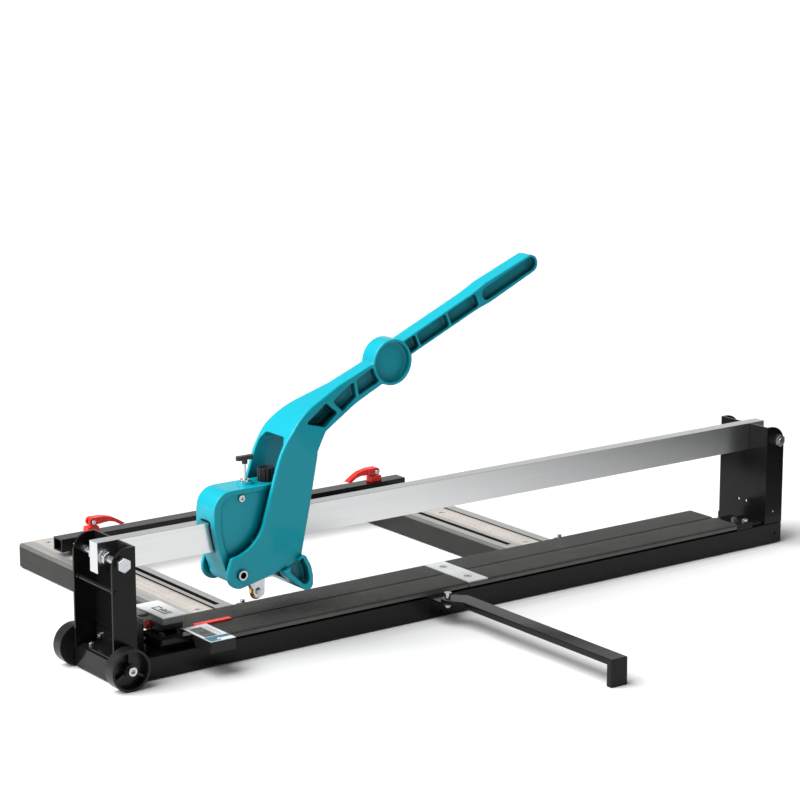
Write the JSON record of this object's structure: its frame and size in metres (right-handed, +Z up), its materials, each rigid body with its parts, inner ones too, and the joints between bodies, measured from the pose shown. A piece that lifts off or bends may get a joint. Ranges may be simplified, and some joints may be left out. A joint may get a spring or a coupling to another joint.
{
  "type": "tile cutter",
  "caption": "Manual tile cutter: a carriage with scoring wheel and forked breaking lever slides on a flat rail above a padded base with side fence and outrigger.",
  "frame": {"origin": "on the floor plane, under the middle of the rail and of the base's width", "axes": "+X along the rail towards the end without wheels, +Y from the front towards the side fence, +Z up"},
  "size_m": [1.1015, 0.867, 0.449],
  "materials": {
    "black_paint": "satin powder coat",
    "black_plastic": "moulded, semi-matt",
    "black_rubber": "ribbed, matt",
    "wheel_black": "moulded hard rubber",
    "rail_steel": "ground and polished",
    "dark_steel": "plain rolled steel",
    "zinc": "bright zinc plating",
    "aluminium": "grey anodised extrusion",
    "light_metal": "satin sheet",
    "ruler_white": "printed scale",
    "grey_plastic": "moulded",
    "white_plastic": "moulded",
    "red_plastic": "moulded",
    "lcd": "segment display",
    "teal_paint": "gloss enamel on cast aluminium",
    "coated_carbide": "titanium-coated"
  },
  "bodies": {
    "base": {"left_base_beam": "black_paint", "right_base_beam": "black_paint", "base_joiner": "dark_steel", "rubber_feet": "black_rubber", "left_post": "black_paint", "right_post": "black_paint", "post_brackets": "black_paint", "rail": "rail_steel", "rail_bolts": "zinc", "rail_nuts": "zinc", "spacer_rods": "black_paint", "small_screws": "zinc", "bed_pads": "black_rubber", "breaking_ridge": "dark_steel", "centre_plate": "light_metal", "start_strip": "red_plastic", "left_cross_beam": "aluminium", "middle_cross_beam": "aluminium", "edge_strips": "black_rubber", "rulers": "ruler_white", "cross_beam_bolts": "zinc", "scale_clamp": "black_paint", "laser_housing": "grey_plastic", "laser_lid": "white_plastic", "laser_bracket": "grey_plastic", "end_block": "black_paint", "end_block_bolts": "zinc", "display_housing": "black_plastic", "display_face": "white_plastic", "display_window": "lcd", "axle_brackets": "black_paint", "wheel_axles": "zinc", "outrigger_plate": "black_paint", "outrigger_bolt": "zinc"},
    "carriage": {"carriage_housing": "teal_paint", "carriage_bolts": "zinc", "pivot_bolt": "zinc"},
    "front_upper_roller": {"front_upper_roller": "zinc"},
    "rear_upper_roller": {"rear_upper_roller": "zinc"},
    "front_lower_roller": {"front_lower_roller": "zinc"},
    "rear_lower_roller": {"rear_lower_roller": "zinc"},
    "lock_screw": {"lock_screw": "black_plastic"},
    "adjuster_knob": {"adjuster_knob": "black_plastic"},
    "lever": {"lever_casting": "teal_paint", "wheel_holder": "zinc", "cutter_axle": "zinc", "breaker_foot": "teal_paint"},
    "cutting_wheel": {"cutting_wheel": "coated_carbide"},
    "front_wheel": {"front_wheel": "wheel_black"},
    "rear_wheel": {"rear_wheel": "wheel_black"},
    "outrigger": {"outrigger_arm": "black_paint"},
    "fence": {"fence_bar": "black_paint", "fence_shoes": "black_plastic", "clamp_studs": "zinc", "cam_saddles": "red_plastic", "cam_pins": "zinc"},
    "left_cam_lever": {"left_cam_lever": "red_plastic"},
    "right_cam_lever": {"right_cam_lever": "red_plastic"},
    "laser_button": {"laser_button": "red_plastic"},
    "display_button": {"display_button": "white_plastic"}
  },
  "joints": [
    {"name": "carriage_slide", "type": "slide", "parent": "base", "child": "carriage", "axis": [1, 0, 0], "range_m": [-0.07, 0.7]},
    {"name": "front_upper_roller_spin", "type": "hinge", "parent": "carriage", "child": "front_upper_roller", "pos_m": [-0.36, 0, 0.1781], "axis": [0, 1, 0], "continuous": true},
    {"name": "rear_upper_roller_spin", "type": "hinge", "parent": "carriage", "child": "rear_upper_roller", "pos_m": [-0.281, 0, 0.1781], "axis": [0, 1, 0], "continuous": true},
    {"name": "front_lower_roller_spin", "type": "hinge", "parent": "carriage", "child": "front_lower_roller", "pos_m": [-0.362, 0, 0.1234], "axis": [0, 1, 0], "continuous": true},
    {"name": "rear_lower_roller_spin", "type": "hinge", "parent": "carriage", "child": "rear_lower_roller", "pos_m": [-0.342, 0, 0.1234], "axis": [0, 1, 0], "continuous": true},
    {"name": "lock_screw_turn", "type": "hinge", "parent": "carriage", "child": "lock_screw", "pos_m": [-0.326, 0, 0.2105], "axis": [0, 0, 1], "range_deg": [0, 180]},
    {"name": "adjuster_knob_turn", "type": "hinge", "parent": "carriage", "child": "adjuster_knob", "pos_m": [-0.295, 0, 0.2073], "axis": [0, 0, 1], "range_deg": [0, 270]},
    {"name": "lever_pivot", "type": "hinge", "parent": "carriage", "child": "lever", "pos_m": [-0.353, 0, 0.103], "axis": [0, 1, 0], "range_deg": [-20, 14]},
    {"name": "cutting_wheel_spin", "type": "hinge", "parent": "lever", "child": "cutting_wheel", "pos_m": [-0.3105, 0, 0.068], "axis": [0, 1, 0], "continuous": true},
    {"name": "front_wheel_spin", "type": "hinge", "parent": "base", "child": "front_wheel", "pos_m": [-0.533, -0.0625, 0.026], "axis": [0, 1, 0], "continuous": true},
    {"name": "rear_wheel_spin", "type": "hinge", "parent": "base", "child": "rear_wheel", "pos_m": [-0.533, 0.0625, 0.026], "axis": [0, 1, 0], "continuous": true},
    {"name": "outrigger_swing", "type": "hinge", "parent": "base", "child": "outrigger", "pos_m": [-0.074, -0.08, 0.0321], "axis": [0, 0, 1], "range_deg": [0, 90]},
    {"name": "fence_slide", "type": "slide", "parent": "base", "child": "fence", "axis": [0, 1, 0], "range_m": [-0.29, 0.06]},
    {"name": "left_cam_turn", "type": "hinge", "parent": "fence", "child": "left_cam_lever", "pos_m": [-0.324, 0.388, 0.0736], "axis": [0, -1, 0], "range_deg": [0, 90]},
    {"name": "right_cam_turn", "type": "hinge", "parent": "fence", "child": "right_cam_lever", "pos_m": [0.146, 0.388, 0.0736], "axis": [0, 1, 0], "range_deg": [0, 90]},
    {"name": "laser_button_press", "type": "slide", "parent": "base", "child": "laser_button", "axis": [1, 0, 0], "range_m": [0, 0.001], "stiffness_N_per_m": 400},
    {"name": "display_button_press", "type": "slide", "parent": "base", "child": "display_button", "axis": [0, 0, -1], "range_m": [0, 0.0008], "stiffness_N_per_m": 400}
  ],
  "couplings": [
    {"joint": "front_upper_roller_spin", "follows": "carriage_slide", "rad_per_m": 111.11},
    {"joint": "rear_upper_roller_spin", "follows": "carriage_slide", "rad_per_m": 111.11},
    {"joint": "front_lower_roller_spin", "follows": "carriage_slide", "rad_per_m": -133.33},
    {"joint": "rear_lower_roller_spin", "follows": "carriage_slide", "rad_per_m": -133.33}
  ]
}
